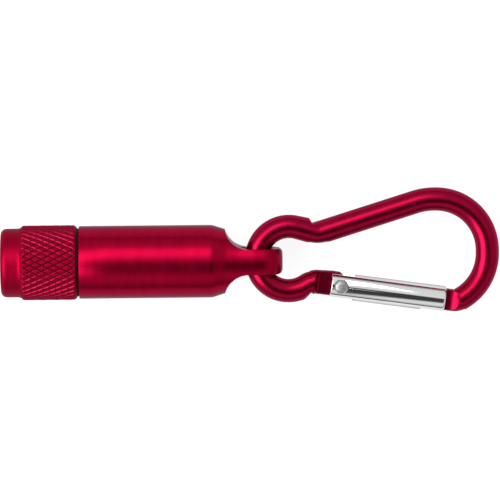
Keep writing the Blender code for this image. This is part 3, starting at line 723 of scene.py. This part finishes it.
def section(place, along):
    """Half widths of the wire left and right of the walk at a place."""
    u = (place - RIVET).dot(ALONG)
    if along < LOW_RUN:
        return between(u, TANG_OUT), between(u, TANG_IN)
    if along > NOSE_RUN:
        step = smooth((u - LATCH_S) / STEP_LENGTH)
        tip = 1 - smooth((u - NOSE_TIP) / TIP_LENGTH)
        return NOSE_OUT + STEP_OUT * step - TIP_OUT * tip, NOSE_IN + STEP_IN * step - TIP_IN * tip
    return WIRE_R, WIRE_R


# How far the bending die moved the wire's outer side, by distance from each kink: dent, then bulge.
# TOP_PRESS is the flat that it left on the inner side of the top kink.
TOP_PINCH = ((0.0, 0.0), (1.0, -0.64), (1.8, 0.12), (2.6, 0.08), (4.0, 0.0))
LOW_PINCH = ((0.0, -0.15), (0.45, -0.60), (1.75, 0.02), (3.0, 0.0))
TOP_PRESS = ((-1.7, 0.0), (-0.7, -0.22), (0.0, -0.27), (0.7, -0.22), (1.7, 0.0))


def pinch(along):
    """How far the wire's left side stands out beside the two kinks of its neck."""
    low, top = along - LOW_VALLEY, TOP_VALLEY - along
    return ((between(low, LOW_PINCH) if low > 0 else 0.0)
            + (between(top, TOP_PINCH) if top > 0 else 0.0))


WIRE_STEPS = 64
frame_skin, rings = Skin(), []
for i, place in enumerate(path):
    before, after = path[max(i - 1, 0)], path[min(i + 1, len(path) - 1)]
    if 0 < i < len(path) - 1:
        travel = ((place - before).normalized() + (after - place).normalized()).normalized()
    else:
        travel = (after - before).normalized()
    left = Vector((-travel.y, travel.x))
    reach_left, reach_right = section(place, run[i])
    dent, press = pinch(run[i]), between(run[i] - TOP_MIDDLE, TOP_PRESS)
    loops = []
    for t in circle(WIRE_STEPS):
        c, z = math.cos(t), math.sin(t)
        p = place + left * c * (reach_left + dent * c * c if c > 0 else reach_right + press * c * c)
        loops.append((p.x, p.y, z * WIRE_R))
    rings.append(loops)
frame_skin.chain(rings)
frame_skin.face(*rings[0])
frame_skin.face(*rings[-1])
clip = frame_skin.build("clip_wire", LUG, 40)


def flat_cut(name, low_u, high_u, run_out, side):
    """Cutter that mills one face of the wire flat between low_u and high_u.

    The cut runs out beyond high_u, along an arc of radius run_out and then a straight slope.
    """
    away = 1 if high_u > low_u else -1
    outline = [(low_u, OUTSIDE), (low_u, FLAT_HALF)]
    for i in range(13):
        t = math.radians(RUN_OUT_DEG * i / 12)
        outline.append((high_u + away * run_out * math.sin(t),
                        FLAT_HALF + run_out * (1 - math.cos(t))))
    u, z = outline[-1]
    outline.append((u + away * (OUTSIDE - z) / math.tan(math.radians(RUN_OUT_DEG)), OUTSIDE))
    skin = Skin()
    near = [(u, -5.0, side * z) for u, z in outline]
    far = [(u, 5.0, side * z) for u, z in outline]
    skin.band(near, far)
    skin.face(*near)
    skin.face(*far)
    return skin.build(name, GATE)


pin_hole = [(-OUTSIDE, 0), (-OUTSIDE, PIN_HOLE_R), (OUTSIDE, PIN_HOLE_R), (OUTSIDE, 0)]
pin_place = LUG @ Matrix.Translation(Vector((RIVET.x, RIVET.y, 0)) * MM)
tools = [lathe(pin_hole, 48, axis="Z").build("tang_cut", pin_place)]
for side in (1, -1):
    tools.append(flat_cut("tang_flat", 4.0, TANG_FLAT_END, TANG_RUN_OUT, side))
    tools.append(flat_cut("nose_flat", 12.0, NOSE_FLAT_END, NOSE_RUN_OUT, side))
cut(clip, tools)
dress(clip, GLOSS, "carabiner", "anodised_red_gloss", "carabiner_frame")

# ---------------------------------------------------------------- gate
rod = rounded([(GATE_START, 0), (GATE_START, 2.5), (GATE_START + 0.12, GATE_R), (GATE_END - 0.4, GATE_R),
               (GATE_END - 0.1, 2.5), (GATE_END, 2.25), (GATE_END, 0)], 0.15)
gate = lathe(rod, 128).build("gate_bar", GATE)
tang_slot = [(-6, -OUTSIDE), (2.9, -OUTSIDE), (2.9, OUTSIDE), (-6, OUTSIDE)]
latch_slot = [(NOSE_TIP - 1.1, -OUTSIDE), (NOSE_TIP - 1.0, -1.6), (NOSE_TIP - 0.7, 0.2),
              (NOSE_TIP - 0.3, 1.0), (NOSE_TIP + 0.1, 1.25), (24, 1.25), (24, -OUTSIDE)]
notch = [(-1.84, -0.58), (-1.52, -0.58), (-1.52, 0.22), (-1.84, 0.22)]     # beside the rivet
spring_bore = [(2.0, 0), (2.0, GATE_BORE_R), (13.2, GATE_BORE_R), (13.9, 0)]
top_seat = [(SEAT_Z, 0), (SEAT_Z, HEAD_SEAT_R), (OUTSIDE, HEAD_SEAT_R), (OUTSIDE, 0)]
low_seat = [(-OUTSIDE, 0), (-OUTSIDE, HEAD_SEAT_R), (-SEAT_Z, HEAD_SEAT_R), (-SEAT_Z, 0)]
tools = [tool.build("gate_cut", GATE) for tool in (
    prism(tang_slot, -SLOT_HALF, SLOT_HALF), prism(latch_slot, -SLOT_HALF, SLOT_HALF),
    prism(notch, 1.75, 3.0), lathe(spring_bore, 48), lathe(pin_hole, 48, axis="Z"),
    lathe(top_seat, 64, axis="Z"), lathe(low_seat, 64, axis="Z"))]
cut(gate, tools, 0.05, 2)
dress(gate, POLISHED, "gate_arm", "bare_aluminium", "gate")
dome = [(0.56, 0.0), (0.55, 0.3), (0.51, 0.6), (0.44, 0.85), (0.34, 1.06), (0.2, 1.24), (0.1, 1.31),
        (0.06, 1.3), (0.06, 0.75)]                      # peened head: height over its seat, radius
pin = [(-SEAT_Z - h, r) for h, r in dome] + [(SEAT_Z + h, r) for h, r in dome[::-1]]
dress(lathe(pin, 64, axis="Z").build("gate_pin", GATE), PEENED, "gate_arm", "rivet_steel", "gate_rivet")
push = rounded([(2.08, 0), (2.08, 0.85), (2.2, 1.0), (4.6, 1.0), (4.6, 0.5), (6.2, 0.5), (6.2, 0)], 0.05)
dress(lathe(push, 48).build("plunger_pin", GATE), BRASS, "plunger", "pin_brass", "gate_plunger")
coil = wire(helix(GATE_SPRING_S, GATE_SPRING_END_S, 0.9, 0.9, 6, 240), 0.19, 10)
gate_coil = dress(coil.build("gate_coil", GATE), SPRING, "gate_arm", "spring_steel", "gate_spring")
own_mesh(gate_coil)

# ---------------------------------------------------------------- nodes kept from the CAD
for node, mat in (("led_lead_plus", TIN), ("led_lead_minus", TIN), ("led_board", BOARD),
                  ("led_resistor", CHIP)):
    for slot in frame["nodes"][node].material_slots:
        slot.material = mat

# ---------------------------------------------------------------- stage, light, camera
FLOOR_GREY, FLOOR_GLOW, FLOOR_DROP = 0.16, 0.88, 0.00005
floor_mesh = bpy.data.meshes.new("floor")
floor_mesh.from_pydata([(-3, -3, 0), (3, -3, 0), (3, 3, 0), (-3, 3, 0)], [], [(0, 1, 2, 3)])
floor = bpy.data.objects.new("floor", floor_mesh)
floor.location.z = cad_low.z - FLOOR_DROP
bpy.context.scene.collection.objects.link(floor)
floor_mat, nodes, links, shader = material("floor_white")
shader.inputs["Base Color"].default_value = (FLOOR_GREY, FLOOR_GREY, FLOOR_GREY, 1)
shader.inputs["Emission Color"].default_value = (1, 1, 1, 1)
shader.inputs["Emission Strength"].default_value = FLOOR_GLOW
shader.inputs["Roughness"].default_value = 0.9
shader.inputs["Specular IOR Level"].default_value = 0.0
floor_mesh.materials.append(floor_mat)

world = bpy.data.worlds.new("studio")
bpy.context.scene.world = world
world.use_nodes = True
nodes, links = world.node_tree.nodes, world.node_tree.links
sky = nodes["Background"]


def math_node(kind, *values):
    """Output of a math node of the world that takes numbers or other outputs."""
    node = nodes.new("ShaderNodeMath")
    node.operation = kind
    for i, value in enumerate(values):
        if isinstance(value, (int, float)):
            node.inputs[i].default_value = value
        else:
            links.new(value, node.inputs[i])
    return node.outputs["Value"]


def ramp_node(value, stops):
    """Output of a grey ramp through (place, level) stops."""
    node = nodes.new("ShaderNodeValToRGB")
    points = node.color_ramp.elements
    while len(points) < len(stops):
        points.new(0.5)
    for point, (place, level) in zip(points, stops):
        point.position = place
        point.color = (level, level, level, 1)
    links.new(value, node.inputs["Fac"])
    return node.outputs["Color"]


# The room: white all round, with a dark gap overhead between the lamps. The stops below are
# (degrees from straight up, level), towards +Y in those named _Y and towards +X in those named _X.
towards = nodes.new("ShaderNodeSeparateXYZ")
links.new(nodes.new("ShaderNodeTexCoord").outputs["Generated"], towards.inputs["Vector"])
x, y, z = towards.outputs
angle_x = math_node("MULTIPLY_ADD", math_node("ARCTAN2", x, z), 0.5 / math.pi, 0.5)
angle_y = math_node("MULTIPLY_ADD", math_node("ARCTAN2", y, z), 0.5 / math.pi, 0.5)
WALLS_Y = ((-180, 0.1), (-82, 0.1), (-76, 0.6), (-60, 0.95), (76, 0.95), (84, 0.3), (180, 0.3))
WALLS_X = ((-180, 1.0), (30, 1.0), (60, 0.8), (92, 0.7), (180, 0.7))
GAP_DEPTH = 0.94               # how dark the gap is
GAP_Y = ((-180, 0.0), (-42, 0.0), (-30, 1.0), (0, 1.0), (7, 0.0), (180, 0.0))
GAP_X = ((-180, 0.0), (-20, 0.0), (-10, 1.0), (20, 1.0), (26, 0.6), (38, 0.55), (50, 0.0), (180, 0.0))


def by_angle(value, stops):
    """Ramp over an angle, with its stops in degrees."""
    return ramp_node(value, [((a + 180) / 360, level) for a, level in stops])


walls = math_node("MULTIPLY", by_angle(angle_y, WALLS_Y), by_angle(angle_x, WALLS_X))
gap = math_node("MULTIPLY", by_angle(angle_y, GAP_Y), by_angle(angle_x, GAP_X))
room = math_node("MULTIPLY", walls, math_node("MULTIPLY_ADD", gap, -GAP_DEPTH, 1.0))
links.new(room, sky.inputs["Strength"])
sky.inputs["Color"].default_value = (1, 1, 1, 1)


def soft_box(name, direction, distance, size, power):
    """White area lamp that shines at the object from a direction."""
    data = bpy.data.lights.new(name, "AREA")
    data.shape, data.size, data.size_y = "RECTANGLE", size[0], size[1]
    data.energy = power
    light = bpy.data.objects.new(name, data)
    d = Vector(direction).normalized()
    light.location = d * distance
    light.rotation_euler = d.to_track_quat("Z", "Y").to_euler()
    bpy.context.scene.collection.objects.link(light)


def toward(x_deg, y_deg):
    """Direction whose angles from the vertical are these, seen along Y and along X."""
    return (math.tan(math.radians(x_deg)), math.tan(math.radians(y_deg)), 1.0)


soft_box("strip_back", toward(-16, 26), 1.5, (1.56, 0.72), 9.6)
soft_box("box_left", toward(-42, -12), 1.4, (1.5, 1.0), 21)

TILT, ROLL = math.radians(4.0), math.radians(-0.55)
DISTANCE = 1.12
VIEW_WIDTH = 0.1               # width seen at the target
target = Vector((-0.1, 0.605, 7.5)) * MM
cam_data = bpy.data.cameras.new("camera")
cam_data.sensor_width = 36.0
cam_data.lens = cam_data.sensor_width * DISTANCE / VIEW_WIDTH
cam_data.clip_start, cam_data.clip_end = 0.05, 20
camera = bpy.data.objects.new("camera", cam_data)
out = Vector((0, math.sin(TILT), math.cos(TILT)))
camera.matrix_world = (Matrix.Translation(target + out * DISTANCE)
                       @ Matrix.Rotation(-TILT, 4, "X") @ Matrix.Rotation(ROLL, 4, "Z"))
bpy.context.scene.collection.objects.link(camera)
bpy.context.scene.camera = camera
bpy.context.scene.view_settings.view_transform = "Standard"
